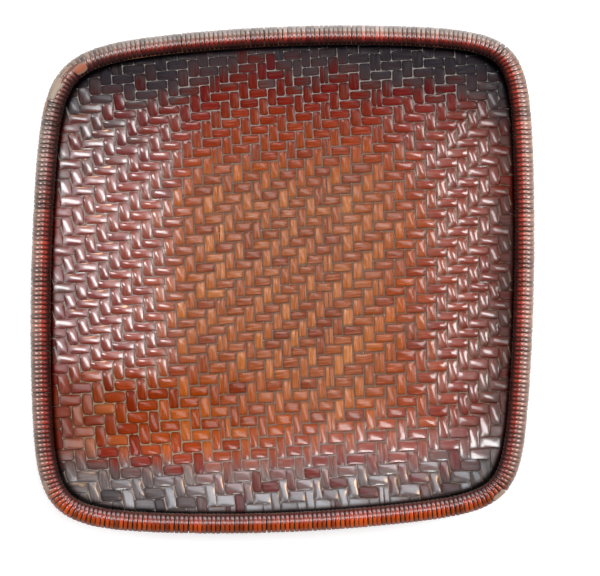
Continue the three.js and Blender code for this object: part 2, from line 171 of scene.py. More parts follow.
# %% Camera above the tray
camera_x = 14.5 * mm
camera_y = -7.2 * mm
camera_z = 1.6
view_width = 500.2 * mm
sensor_width = 36

lens_of_camera = bpy.data.cameras.new("camera")
camera = bpy.data.objects.new("camera", lens_of_camera)
bpy.context.scene.collection.objects.link(camera)
camera.location = (camera_x, camera_y, camera_z)
lens_of_camera.sensor_width = sensor_width
lens_of_camera.lens = sensor_width * (camera_z - rim_middle) / view_width
lens_of_camera.clip_end = 50
bpy.context.scene.camera = camera
print(f"lens {lens_of_camera.lens:.1f} mm")

# %% [markdown]
# ## Where the strips run
#
# Uprights run from the back to the front and crosspieces from left to right. No two strips are equally
# wide, and the maker's hand drifts, so the strips widen to the left and to the front, and they lean. We
# give each set a width that changes from place to place, and lay the strips side by side from there. The
# alternative, a square grid, looks like print at once.

# %% Widths and drifts of the strips, in millimetres of the camera's view
unit = 200
upright_pitch = {
    "middle": 7.10, "left": 9.92, "right": 8.81, "turn": 38.7, "left fade": 94.4, "right fade": 5.1}
crosspiece_pitch = {
    "middle": 7.50, "front": 9.29, "step": -65.8, "swell": 0.79, "swell at": 62.7, "fade": 31.6}
first_upright = 0.7765
first_crosspiece = -0.3838
view_shift_x = 0.26
view_shift_y = 2.16
upright_lean = -3
upright_fan = 5.5
upright_curl = -3.9
crosspiece_climb = 13.9
crosspiece_fan = 3.2
crosspiece_bow = -2.2
rounds = 8


def width_of_uprights(x):
    """How far apart the middles of two uprights are."""
    middle = upright_pitch["middle"]
    left = x < upright_pitch["turn"]
    wide = np.where(left, upright_pitch["left"], upright_pitch["right"])
    fade = np.where(left, upright_pitch["left fade"], upright_pitch["right fade"])
    return middle + (wide - middle) * (1 - np.exp(-(x - upright_pitch["turn"]) ** 2 / (2 * fade ** 2)))


def width_of_crosspieces(y):
    """How far apart the middles of two crosspieces are."""
    base = np.where(y < crosspiece_pitch["step"], crosspiece_pitch["front"], crosspiece_pitch["middle"])
    swell = np.exp(-(y - crosspiece_pitch["swell at"]) ** 2 / (2 * crosspiece_pitch["fade"] ** 2))
    return base + crosspiece_pitch["swell"] * swell


view_spots = np.linspace(-1.25 * unit, 1.25 * unit, 2001)


def counted(width, first):
    """The count of strips from the middle to each spot."""
    count = np.cumsum((view_spots[1] - view_spots[0]) / width(view_spots))
    return count - np.interp(0, view_spots, count) + first


upright_count = counted(width_of_uprights, first_upright)
crosspiece_count = counted(width_of_crosspieces, -first_crosspiece)


def seen_place(upright, crosspiece):
    """Where the camera sees the crossing of two strips, given by their numbers, in millimetres."""
    level_x = np.interp(upright, upright_count, view_spots)
    level_y = np.interp(-crosspiece, crosspiece_count, view_spots)
    x, y = level_x, level_y
    for _ in range(rounds):
        a, b = x / unit, y / unit
        # the named values are the drifts that show, the others are small wanderings of the hand
        x = level_x + 0.3 * a + upright_lean * b + 0.3 * a ** 2 + upright_fan * a * b + 1.2 * b ** 2
        x += -1.5 * a ** 3 - 1.5 * a ** 2 * b - 0.8 * a * b ** 2 + upright_curl * b ** 3
        y = level_y + crosspiece_climb * a + 0.7 * b + crosspiece_bow * a ** 2
        y = y + crosspiece_fan * a * b - 0.7 * b ** 2
        y += -0.6 * a ** 3 - 0.5 * a ** 2 * b + 0.3 * a * b ** 2 - 0.9 * b ** 3
    return (x + view_shift_x) * mm, (y + view_shift_y) * mm


# %% From the view down onto the dish
def on_dish(upright, crosspiece):
    """Points of the dish's middle layer at these strip numbers, and their share of the way to the rim."""
    seen_x, seen_y = seen_place(upright, crosspiece)
    height = np.full(np.shape(seen_x), mat_floor)
    for _ in range(rounds):
        deeper = (camera_z - height) / (camera_z - rim_middle)
        x = camera_x + (seen_x - camera_x) * deeper
        y = camera_y + (seen_y - camera_y) * deeper
        reach = np.hypot(x, y) / rim_reach(x, y)
        height = dish_height(np.minimum(reach, 1))
    inside = 1 / np.maximum(reach, 1)
    return np.stack((x * inside, y * inside, dish_height(reach)), axis=-1), reach


def dish_frame(upright, crosspiece):
    """Points of the dish, the way out of its face there, and their share of the way to the rim."""
    small = 0.02
    place, reach = on_dish(upright, crosspiece)
    rightward = on_dish(upright + small, crosspiece)[0] - on_dish(upright - small, crosspiece)[0]
    frontward = on_dish(upright, crosspiece + small)[0] - on_dish(upright, crosspiece - small)[0]
    face = np.cross(frontward, rightward)
    face /= np.linalg.norm(face, axis=-1, keepdims=True) + 1e-12
    return place, face, reach


# %% [markdown]
# ## Pieces from rings of points
#
# A strip is a long closed tube with a domed back. Each ring of its points is one cut across it. Blender
# could bevel a curve instead, but then the strip couldn't twist, swell and narrow as it goes over and
# under, and the numbers that colour it later couldn't be written on its points.

# %% Tubes with numbers on their points
def tube_faces(rings, around, first):
    """The side faces and the two end caps of a tube, as lists of point numbers."""
    ring, spot = np.meshgrid(np.arange(rings - 1), np.arange(around), indexing="ij")
    following = (spot + 1) % around
    near, far = first + ring * around, first + (ring + 1) * around
    sides = np.stack((near + spot, near + following, far + following, far + spot), axis=-1).reshape(-1, 4)
    start = list(range(first + around - 1, first - 1, -1))
    end = list(range(first + (rings - 1) * around, first + rings * around))
    return sides.tolist() + [start, end]


def piece_from_tubes(name, tubes, material):
    """One object from several tubes. A tube holds its points, ring by ring, its numbers and its map lanes."""
    points, faces, first = [], [], 0
    for tube in tubes:
        rings, around = tube["points"].shape[:2]
        points.append(tube["points"].reshape(-1, 3))
        faces += tube_faces(rings, around, first)
        first += rings * around
    mesh = bpy.data.meshes.new(name)
    mesh.from_pydata(np.concatenate(points).tolist(), [], faces)
    for key in tubes[0]["numbers"]:
        spread = [np.broadcast_to(tube["numbers"][key], tube["points"].shape[:2]) for tube in tubes]
        values = np.concatenate([numbers.ravel() for numbers in spread])
        mesh.attributes.new(key, "FLOAT", "POINT").data.foreach_set("value", values.astype(np.float32))
    mesh.polygons.foreach_set("use_smooth", [True] * len(mesh.polygons))
    lay_map(mesh, tubes)
    mesh.materials.append(material)
    piece = bpy.data.objects.new(name, mesh)
    bpy.context.scene.collection.objects.link(piece)
    return piece


# %% [markdown]
# A map with each strip in a lane of its own keeps a baked texture as sharp along a strip as across it.
# Blender's own unwrapping would cut the strips into thousands of islands.

# %% Map lanes
lane_margin = 0.04
map_margin = 0.005
cap_spot = 0.002


def lay_map(mesh, tubes):
    """Writes the map: every stretch of a tube is a lane, with its length from left to right."""
    stretches = sum(tube["lanes"] for tube in tubes)
    corners = []
    lane = 0
    for tube in tubes:
        rings, around = tube["points"].shape[:2]
        ring, spot = np.meshgrid(np.arange(rings - 1), np.arange(around), indexing="ij")
        per_lane = (rings - 1) / tube["lanes"]
        which = np.minimum(np.floor(ring / per_lane), tube["lanes"] - 1)
        left = (ring - which * per_lane) / per_lane
        right = left + 1 / per_lane
        low = (lane + which + lane_margin + (1 - 2 * lane_margin) * spot / around) / stretches
        high = (lane + which + lane_margin + (1 - 2 * lane_margin) * (spot + 1) / around) / stretches
        left, right = (map_margin + (1 - 2 * map_margin) * end for end in (left, right))
        sides = np.stack((left, low, left, high, right, high, right, low), axis=-1).reshape(-1, 2)
        cap = np.full((2 * around, 2), cap_spot)
        cap[:, 1] = (lane + 0.5) / stretches
        corners += [sides, cap]
        lane += tube["lanes"]
    layer = mesh.uv_layers.new(name="OFBake")
    layer.data.foreach_set("uv", np.concatenate(corners).astype(np.float32).ravel())


# %% [markdown]
# ## Finishes
#
# Three things are on every strip: fibres that run its length, dust that has settled in the creases, and a
# coat of red-brown lacquer over both. The fibres and the dust are shader groups, built once and used in
# each finish with its own values. The lacquer stays in the finish itself, as its gloss comes from the
# shader.

# %% Short words for shader nodes
def feed(tree, node, inputs):
    """Links or sets inputs of a node. Three numbers are a colour as it looks on a screen."""
    for name, value in inputs.items():
        if isinstance(value, bpy.types.NodeSocket):
            tree.links.new(value, node.inputs[name])
        elif isinstance(value, tuple) and len(value) == 3:
            node.inputs[name].default_value = colour(*value)
        else:
            node.inputs[name].default_value = value


def add(tree, kind, inputs=None, **settings):
    """A new shader node, with its inputs linked or set."""
    made = tree.nodes.new("ShaderNode" + kind)
    for name, value in settings.items():
        setattr(made, name, value)
    feed(tree, made, inputs or {})
    return made


def maths(tree, operation, first, second=0.0, third=0.0):
    """The result of one sum on numbers or sockets."""
    return add(tree, "Math", {0: first, 1: second, 2: third}, operation=operation).outputs[0]


def times(tree, first, second, plus=0.0):
    """The product of two numbers or sockets, with a third added to it."""
    return maths(tree, "MULTIPLY_ADD", first, second, plus)


def left_of(tree, taken):
    """What is left of 1."""
    return maths(tree, "SUBTRACT", 1.0, taken)


def mixed(tree, share, first, second, blend="MIX"):
    """Two colours mixed."""
    made = add(tree, "Mix", {0: share, 6: first, 7: second}, data_type="RGBA", blend_type=blend)
    return made.outputs[2]


def darkened(tree, shade, lightness):
    """A colour made darker, or lighter where the lightness is over 1."""
    return add(tree, "HueSaturation", {"Color": shade, "Value": lightness}).outputs[0]


def ramped(tree, value, stops):
    """A colour picked along a row of colours, each given with its place on the row."""
    ramp = add(tree, "ValToRGB", {"Fac": value})
    row = ramp.color_ramp.elements
    row[0].position, row[0].color = stops[0][0], colour(*stops[0][1])
    row[1].position, row[1].color = stops[-1][0], colour(*stops[-1][1])
    for position, shade in stops[1:-1]:
        row.new(position).color = colour(*shade)
    return ramp.outputs[0]


def ranged(tree, value, low, high, low_out=0.0, high_out=1.0, smooth=True):
    """A number moved from one range to another, and kept inside it."""
    kind = "SMOOTHSTEP" if smooth else "LINEAR"
    inputs = {"Value": value, "From Min": low, "From Max": high, "To Min": low_out, "To Max": high_out}
    return add(tree, "MapRange", inputs, interpolation_type=kind).outputs[0]


def numbers_on_points(tree, names):
    """Numbers that were written on a piece's points, by name."""
    sockets = {name: add(tree, "Attribute", attribute_name=name).outputs["Fac"] for name in names.split()}
    return types.SimpleNamespace(**sockets)


def noise(tree, x, y, z, detail=2.0):
    """Noise between 0 and 1 at a place made of three numbers."""
    place = add(tree, "CombineXYZ", {"X": x, "Y": y, "Z": z}).outputs[0]
    return add(tree, "TexNoise", {"Vector": place, "Scale": 1.0, "Detail": detail}).outputs["Fac"]


def colour(red, green, blue):
    """A colour as it looks on a screen, from 0 to 255, as the shader wants it."""
    screen = np.array((red, green, blue)) / 255
    linear = np.where(screen <= 0.04045, screen / 12.92, ((screen + 0.055) / 1.055) ** 2.4)
    return (*linear.tolist(), 1.0)


def group_of(name, inputs, outputs):
    """An empty shader group with its sockets, and its two end nodes."""
    made = bpy.data.node_groups.new(name, "ShaderNodeTree")
    for socket, default in inputs.items():
        entrance = made.interface.new_socket(socket, in_out="INPUT", socket_type="NodeSocketFloat")
        entrance.default_value = default
    for socket in outputs:
        made.interface.new_socket(socket, in_out="OUTPUT", socket_type="NodeSocketFloat")
    return made, made.nodes.new("NodeGroupInput").outputs, made.nodes.new("NodeGroupOutput").inputs


# %% [markdown]
# Fibres are noise that is stretched along the strip, ten to twenty times longer than wide. Each strip
# starts at its own place in the noise, so no two are alike.

# %% Group: fibres along a strip
noise_between_strips = 7.31
broad_fibres_per_metre = 60.0
fine_fibres_per_metre = 130.0
finer_across = 3.2
broad_share = 0.6

fibres, given, result = group_of(
    "fibres along a strip", {"Along": 0.0, "Across": 0.0, "Strip": 0.0, "Fineness": 1.0}, ["Streak", "Ridge"])
strip_place = times(fibres, given["Strip"], noise_between_strips)
across_place = times(fibres, given["Across"], given["Fineness"])
broad_place = times(fibres, given["Along"], broad_fibres_per_metre)
broad = noise(fibres, broad_place, across_place, strip_place)
fine_place = times(fibres, given["Along"], fine_fibres_per_metre)
fine_across = times(fibres, across_place, finer_across)
fine = noise(fibres, fine_place, fine_across, strip_place, detail=3.0)
broad_part = times(fibres, broad, broad_share)
streaks = maths(fibres, "ADD", broad_part, times(fibres, fine, 1 - broad_share))
fibres.links.new(ranged(fibres, streaks, 0.3, 0.7, smooth=False), result["Streak"])
fibres.links.new(fine, result["Ridge"])

# %% [markdown]
# Dust gathers where a strip goes down under its neighbours, so it follows how near a spot is to the edge of
# the part that shows. A little noise frays it.

# %% Group: dust in the creases
frays_per_metre = 700.0
frays_across = 3.0
dust_between_strips = 3.7
fray_reach = 0.12

dust, given, result = group_of(
    "dust in the creases",
    {"Edge": 0.0, "Along": 0.0, "Across": 0.0, "Strip": 0.0, "Start": 0.85, "Soft": 0.09, "Amount": 1.0},
    ["Dust"])
fray = noise(dust, times(dust, given["Along"], frays_per_metre),
             times(dust, given["Across"], frays_across),
             times(dust, given["Strip"], dust_between_strips))
frayed_edge = times(dust, maths(dust, "SUBTRACT", fray, 0.5), fray_reach, given["Edge"])
settled = ranged(dust, frayed_edge, given["Start"], maths(dust, "ADD", given["Start"], given["Soft"]))
dust.links.new(times(dust, settled, given["Amount"]), result["Dust"])


# %% Fibres and dust in a finish
def fibres_on(tree, on, fineness):
    """The fibres of a strip, from the numbers on its points."""
    inputs = {"Along": on.along, "Across": on.across, "Strip": on.strip, "Fineness": fineness}
    return add(tree, "Group", inputs, node_tree=fibres).outputs


def dust_on(tree, on, edge, **values):
    """How much dust covers a strip, from the numbers on its points and how near its edge is."""
    inputs = {"Edge": edge, "Along": on.along, "Across": on.across, "Strip": on.strip, **values}
    return add(tree, "Group", inputs, node_tree=dust).outputs["Dust"]


def grained(tree, fibre, strength, depth):
    """The way a surface faces, roughened by its fibres."""
    return add(tree, "Bump", {"Height": fibre["Ridge"], "Strength": strength, "Distance": depth}).outputs[0]


def finish(name):
    """A new material with its tree and its shader."""
    made = bpy.data.materials.new(name)
    made.use_nodes = True
    return made, made.node_tree, made.node_tree.nodes["Principled BSDF"]


# %% [markdown]
# ## The finish of the mat
#
# The lacquer is worn through to orange-brown where grain was tossed for years, deep red further out, and
# almost black under the rim, where painted shade darkens it further. The border between them isn't straight,
# so noise moves it. In the near left corner the lacquer is amber, partly yellowed and partly painted warm
# light, and its highlights get a painted golden tint; the front wall is scuffed grey. Painted shade darkens
# each hump where it dips under its neighbours. How far out, amber, scuffed or shiny a spot is, and how much
# painted light and shade it gets, comes as a number from the points of its strip, which the weaving writes
# further down.

# %% Colours of the mat
deep_red = (116, 28, 16)
dusky_red = (84, 40, 34)
slate = (70, 50, 54)
almost_black = (33, 30, 39)
lit_fibre = (255, 205, 160)
# partly yellowed lacquer, partly painted warm light
amber_and_warm_light_colour = (146, 62, 16)
scuffed_grey = (98, 86, 82)
dust_on_floor = (132, 109, 94)
dust_on_left = (164, 150, 142)
dust_on_right = (132, 111, 97)
dust_at_back = (186, 178, 170)
dust_on_amber = (168, 148, 120)
underside_dark = (78, 38, 24)
underside_light = (142, 88, 56)
white = (255, 255, 255)
# a painted golden tint on the highlights, standing in for warm light
painted_golden_glint = (255, 170, 88)


# %% [markdown]
# Each function below turns the numbers on the points into one thing that shows. Where a number is moved
# from one range to another, the first two values say where an effect begins and ends, and the last two how
# strong it is there.

# %% Parts of the mat's finish
def mat_edge(tree, on):
    """How near a spot is to the edge of the part of its strip that shows, from 0 to 1."""
    squarish = ranged(tree, on.zone, 0.5, 0.8, 9.4, 7.2)
    rounder = times(tree, maths(tree, "POWER", on.swell, 0.5), -3.0, squarish)
    corner = maths(tree, "MAXIMUM", rounder, 4.4)
    end = maths(tree, "POWER", maths(tree, "ABSOLUTE", on.beat), corner)
    side = maths(tree, "POWER", maths(tree, "ABSOLUTE", on.across), corner)
    return maths(tree, "POWER", maths(tree, "ADD", end, side), maths(tree, "DIVIDE", 1.0, corner))


def mat_dust(tree, on, edge):
    """The dust on the mat: most of it on the walls, but in narrower lines there."""
    amount = ranged(tree, on.zone, 0.35, 0.7, 0.75, 0.92)
    bulging = ranged(tree, on.swell, 0.0, 0.5)
    start = times(tree, bulging, 0.02, ranged(tree, on.zone, 0.5, 0.85, 0.885, 0.94))
    soft = times(tree, on.swell, 0.01, 0.06)
    return dust_on(tree, on, edge, Start=start, Soft=soft, Amount=amount)


def mat_dust_colour(tree, on, place):
    """The grey of the dust, which isn't the same on every wall."""
    parts = add(tree, "SeparateXYZ", {"Vector": place}).outputs
    to_right = ranged(tree, parts["X"], 20 * mm, 120 * mm)
    to_back = ranged(tree, parts["Y"], 130 * mm, 165 * mm)
    on_walls = mixed(tree, to_right, dust_on_left, dust_on_right)
    on_walls = mixed(tree, to_back, on_walls, dust_at_back)
    on_walls = mixed(tree, on.amber, on_walls, dust_on_amber)
    return mixed(tree, ranged(tree, on.zone, 0.4, 0.75), dust_on_floor, on_walls)


def mat_lacquer(tree, on, fibre, place, lightness, near_colours):
    """The colour of the lacquer, from the middle of the mat out to the rim."""
    worn, mellow, red = near_colours
    patches = add(tree, "TexNoise", {"Vector": place, "Scale": 16.0, "Detail": 2.0}).outputs["Fac"]
    drift = maths(tree, "SUBTRACT", maths(tree, "ADD", fibre["Streak"], on.tone), 1.0)
    patched = times(tree, maths(tree, "SUBTRACT", patches, 0.5), 0.25, on.zone)
    border = times(tree, drift, 0.16, patched)
    by_zone = ramped(tree, border, (
        (0.38, worn), (0.56, mellow), (0.71, red), (0.81, deep_red), (0.865, dusky_red), (0.90, slate),
        (0.97, almost_black)))
    lit = mixed(tree, 1.0, by_zone, lit_fibre, "ADD")
    fibre_light = maths(tree, "POWER", fibre["Streak"], 3.0)
    fibre_light = times(tree, fibre_light, ranged(tree, border, 0.7, 0.86, 0.16, 0.06))
    streaked = mixed(tree, fibre_light, by_zone, lit)
    # amber: partly yellowed lacquer, partly painted warm light
    amber_and_warm_lit = mixed(tree, times(tree, on.amber, 0.7), streaked, amber_and_warm_light_colour)
    scuffs = times(tree, on.scuffed, ranged(tree, drift, -0.5, 0.5, 0.35, 0.75))
    scuffed = mixed(tree, scuffs, amber_and_warm_lit, scuffed_grey)
    hue = times(tree, maths(tree, "SUBTRACT", on.tone, 0.5), 0.02, 0.497)
    strength = times(tree, fibre["Streak"], -0.2, 1.15)
    return add(tree, "HueSaturation", {
        "Color": scuffed, "Hue": hue, "Saturation": strength, "Value": lightness}).outputs[0]


def mat_shine(tree, on, fibre, edge, dusty):
    """What makes the lacquer shine: a veil and a clear coat, gone where it is rubbed or dusty."""
    open_air = ranged(tree, on.share, 0.945, 0.965, 1.0, 0.0)
    flank = ranged(tree, edge, 0.8, 0.97, 1.0, 0.4)
    spared = ranged(tree, on.tone, 0.3, 0.58)
    rubbed = times(tree, left_of(tree, spared), on.scuffed)
    polish = times(tree, flank, times(tree, rubbed, -0.85, 1.0))
    polished = times(tree, polish, open_air)
    glint = times(tree, on.amber, ranged(tree, on.tone, 0.45, 0.65))
    veil = maths(tree, "MAXIMUM", ranged(tree, on.shiny, 0.0, 1.0, 0.15, 0.9), glint)
    gloss = times(tree, fibre["Streak"], 0.12, ranged(tree, on.shiny, 0.0, 1.0, 0.42, 0.32))
    upper = times(tree, on.face, polished)
    coat = times(tree, ranged(tree, on.shiny, 0.0, 1.0, 0.12, 1.0), upper)
    # the Specular Tint paints a golden tint on the highlights where amber is painted, for warm light
    return {
        "Specular IOR Level": times(tree, veil, polished),
        "Specular Tint": mixed(tree, on.amber, white, painted_golden_glint),
        "Roughness": times(tree, dusty, 0.4, gloss),
        "Coat Weight": times(tree, left_of(tree, dusty), coat),
        "Coat Roughness": 0.16, "Coat IOR": 2.1}


# %% Finish of the mat
def mat_finish(name, worn, mellow, red):
    """The lacquer of one set of strips, from its colours at the middle, half way out and near the rim."""
    made, tree, shader = finish(name)
    on = numbers_on_points(
        tree, "along across strip beat zone tone face swell shiny share scuffed amber shade")
    place = add(tree, "TexCoord").outputs["Object"]
    fibre = fibres_on(tree, on, 2.6)
    edge = mat_edge(tree, on)
    dusty = mat_dust(tree, on, edge)
    by_fibre = times(tree, fibre["Streak"], 0.43, 0.50)
    by_strip = times(tree, on.tone, 0.78, by_fibre)
    # on.shade is painted light and shade, which lightens or darkens the lacquer
    lightness = times(tree, by_strip, on.shade)
    lacquer = mat_lacquer(tree, on, fibre, place, lightness, (worn, mellow, red))
    # painted shade along the edges of each hump, where it dips under its neighbours
    painted_crease_shade = ranged(tree, edge, 0.65, 0.97, 1.0, times(tree, on.swell, 0.17, 0.48))
    dusted = mixed(tree, dusty, darkened(tree, lacquer, painted_crease_shade), mat_dust_colour(tree, on, place))
    # painted shade in the crevice under the rim, where the rim's overhang shades the mat
    painted_shade_under_rim = ranged(tree, on.share, 0.95, 0.97, 1.0, 0.08)
    matt = mixed(tree, fibre["Streak"], underside_dark, underside_light)
    upper = darkened(tree, dusted, painted_shade_under_rim)
    feed(tree, shader, {
        "Base Color": mixed(tree, on.face, darkened(tree, matt, lightness), upper),
        **mat_shine(tree, on, fibre, edge, dusty), "Normal": grained(tree, fibre, 0.3, 0.4 * mm)})
    return made


upright_finish = mat_finish("lacquered uprights", (166, 100, 62), (150, 68, 30), (122, 40, 22))
crosspiece_finish = mat_finish("lacquered crosspieces", (150, 86, 56), (142, 56, 24), (134, 37, 16))

# %% [markdown]
# ## Weaving the mat
#
# Every strip goes over two and under two, one further on with each neighbour, which draws the diagonal
# lines of a twill. Its height is a flattened wave. The strips beneath push one edge of it up before the
# other, so each hump is twisted, and the light on it slants. A cloth simulation would settle the strips
# too, but a wave that knows the weave gives the same humps at once.

# %% Section and humps of a strip
strip_half = 0.49
strip_thickness = 0.62 * mm
flat_hump = 0.44 * mm
round_hump = 0.62 * mm
flat_dome = 0.12 * mm
round_dome = 0.74 * mm
dome_corner = 2.3
dome_fall = 2.2
edge_rounding = 12
upright_twist = 1.5
crosspiece_twist = 0.9
top_cuts = np.array((-1, -0.94, -0.78, -0.42, 0, 0.42, 0.78, 0.94, 1))
under_cuts = np.array((0.9, 0, -0.9))
measured_cut = 4
uneven_height = 0.12
uneven_width = 0.03
uneven_width_of_strips = 0.015
uneven_twist = 0.25
uneven_dome = 0.25
sway = 0.03
spread_of_tones = 0.16
spread_of_tones_of_strips = 0.08
crowding = 0.12
steps_per_strip = 5
farthest_strip = 32
farthest_reach = 1.03
random = np.random.default_rng(11)


def hump(beat):
    """The height of a strip from -1 to 1, flat on top and below, at this many crossings from a crest."""
    return np.sin(math.pi / 2 * np.cos(math.pi / 2 * beat))


# %% [markdown]
# Wear isn't the same all over the mat, and nor is the light and shade painted on it. Each kind of it is a
# number that depends on the place, and is put together from soft steps and patches. Places are shares of half
# the tray, so the right edge is at 1 and the front edge at -1. Painting the wear by hand would do as well,
# but a formula fits a tray of any size.

# %% Soft steps and patches
def shares_of(place):
    """How far right and how far back a spot is, as shares of half the tray."""
    return place[..., 0] / (tray_width / 2), place[..., 1] / (tray_depth / 2)


def rise(value, start, length, least=0.0):
    """Climbs from its least to 1, as a value goes this length beyond its start."""
    return np.clip((value - start) / length, least, 1)


def band(value, at, reach, power=2):
    """1 along a band across the mat, falling to 0 beside it. A higher power makes its borders sharper."""
    return np.exp(-((value - at) / reach) ** power)


def patch(x, y, at, reach, power=4):
    """1 in a patch of the mat, falling to 0 round it."""
    return np.exp(-((x - at[0]) / reach[0]) ** power - ((y - at[1]) / reach[1]) ** power)


def squareness_of(place, left, right, back, front):
    """How far out a spot of the mat is, on squarer and squarer lines, with a weight for each side."""
    x, y = shares_of(place)
    x, y = x * np.where(x < 0, left, right), y * np.where(y < 0, front, back)
    return (x ** 4 + y ** 4) ** 0.25


# %% Where the mat bulges, shines and is worn, and its painted light and shade
def swelling(place):
    """From 0 on the flat floor to 1 on the side walls, where the bent mat makes its strips bulge the most."""
    x, y = shares_of(place)
    wall = rise(squareness_of(place, left=1.14, right=0.95, back=0.9, front=0.8), start=0.44, length=0.22)
    aside = rise(np.abs(x), start=0.25, length=0.3)
    above = rise(y + 0.1 * x, start=-0.6, length=0.16)
    above = np.maximum(above, 0.25 + 0.35 * rise(-y, start=0.7, length=0.1))
    below = rise(-y, start=-0.8, length=0.16, least=0.1)
    return wall * (0.45 + 0.55 * aside) * above * below


def gloss_of(place):
    """How much lacquer is left to shine: most on the side walls, some at the front, little in the middle."""
    x, y = shares_of(place)
    wall = rise(squareness_of(place, left=1.24, right=0.95, back=0.9, front=0.8), start=0.44, length=0.22)
    sides = wall * rise(np.abs(x), start=0.25, length=0.25)
    before_rim = rise(-x, start=-0.91, length=0.08, least=0.3)
    sides *= rise(y + 0.1 * x, start=-0.53, length=0.16, least=0.06) * before_rim * np.where(x > 0, 0.75, 1)
    sides *= rise(-y, start=-0.85, length=0.34, least=0.25)
    front = 0.9 * rise(0.2 * x - y, start=0.5, length=0.3) ** 1.5
    back = 0.35 * rise(y, start=0.75, length=0.1)
    return np.maximum(sides, np.maximum(front, back))


def zone_of(place):
    """How far out a spot of the mat is, as the lacquer is worn: further at the left and on the front wall."""
    x, y = shares_of(place)
    grimy = 0.05 * np.clip(-x, 0, 1) * np.clip(-y, 0, 1)
    sill = 0.13 * rise(-y, start=0.64, length=0.2)
    handled = 0.12 * band(x, at=-0.55, reach=0.18)
    bright = 0.07 * band(x, at=-0.35, reach=0.3) * rise(y, start=0.55, length=0.2)
    out = squareness_of(place, left=0.89, right=0.965, back=1.06, front=0.83)
    return out + grimy + handled + sill - bright


def amber_and_warm_light_of(place):
    """How much amber there is, partly yellowed lacquer and partly painted warm light: most in the near left
    corner, a little on the right wall.
    """
    x, y = shares_of(place)
    corner = patch(x, y, at=(-0.5, -0.55), reach=(0.45, 0.19))
    wall = 0.25 * rise(x, start=0.55, length=0.15) * rise(-np.abs(y), start=-0.75, length=0.2)
    return corner + wall


def painted_light_and_shade_of(place):
    """How light the lacquer is, as painted light and shade: painted shade behind the middle and by the left
    wall near the front, painted light on the side walls and at the near left.
    """
    x, y = shares_of(place)
    # painted shade, then painted light, which together multiply the lacquer's lightness
    painted_shade = 0.16 * patch(x, y, at=(0.1, 0.3), reach=(0.45, 0.6), power=2)
    painted_shade += 0.25 * rise(-x, start=0.62, length=0.15) * band(y, at=-0.57, reach=0.19, power=4)
    painted_light_at_near_left = 0.42 * patch(x, y, at=(-0.6, -0.78), reach=(0.35, 0.13))
    right, left = 0.1 * rise(x, start=0.6, length=0.1), 0.08 * rise(-x, start=0.45, length=0.15)
    walls = np.where(x > 0, right, left) * rise(-np.abs(y), start=-0.6, length=0.2)
    return 1 - painted_shade + painted_light_at_near_left + walls


# %% [markdown]
# One function makes any strip. It follows the strip across the mat, finds where it goes over and under,
# gives every hump its own height, width, twist and tone, and writes on the points what the finish needs to
# know.

# %% One strip
def strip_inside(number, is_upright):
    """The crossings that a strip has inside the rim, in small steps, and how far out each of them is."""
    run = np.arange(-farthest_strip, farthest_strip, 1 / steps_per_strip)
    across_run = np.full_like(run, number)
    reach = on_dish(across_run, run)[1] if is_upright else on_dish(run, across_run)[1]
    inside = np.flatnonzero(reach < farthest_reach)
    if len(inside) < 2 * steps_per_strip:
        return None, None
    return run[inside[0]:inside[-1] + 1], reach[inside[0]:inside[-1] + 1]


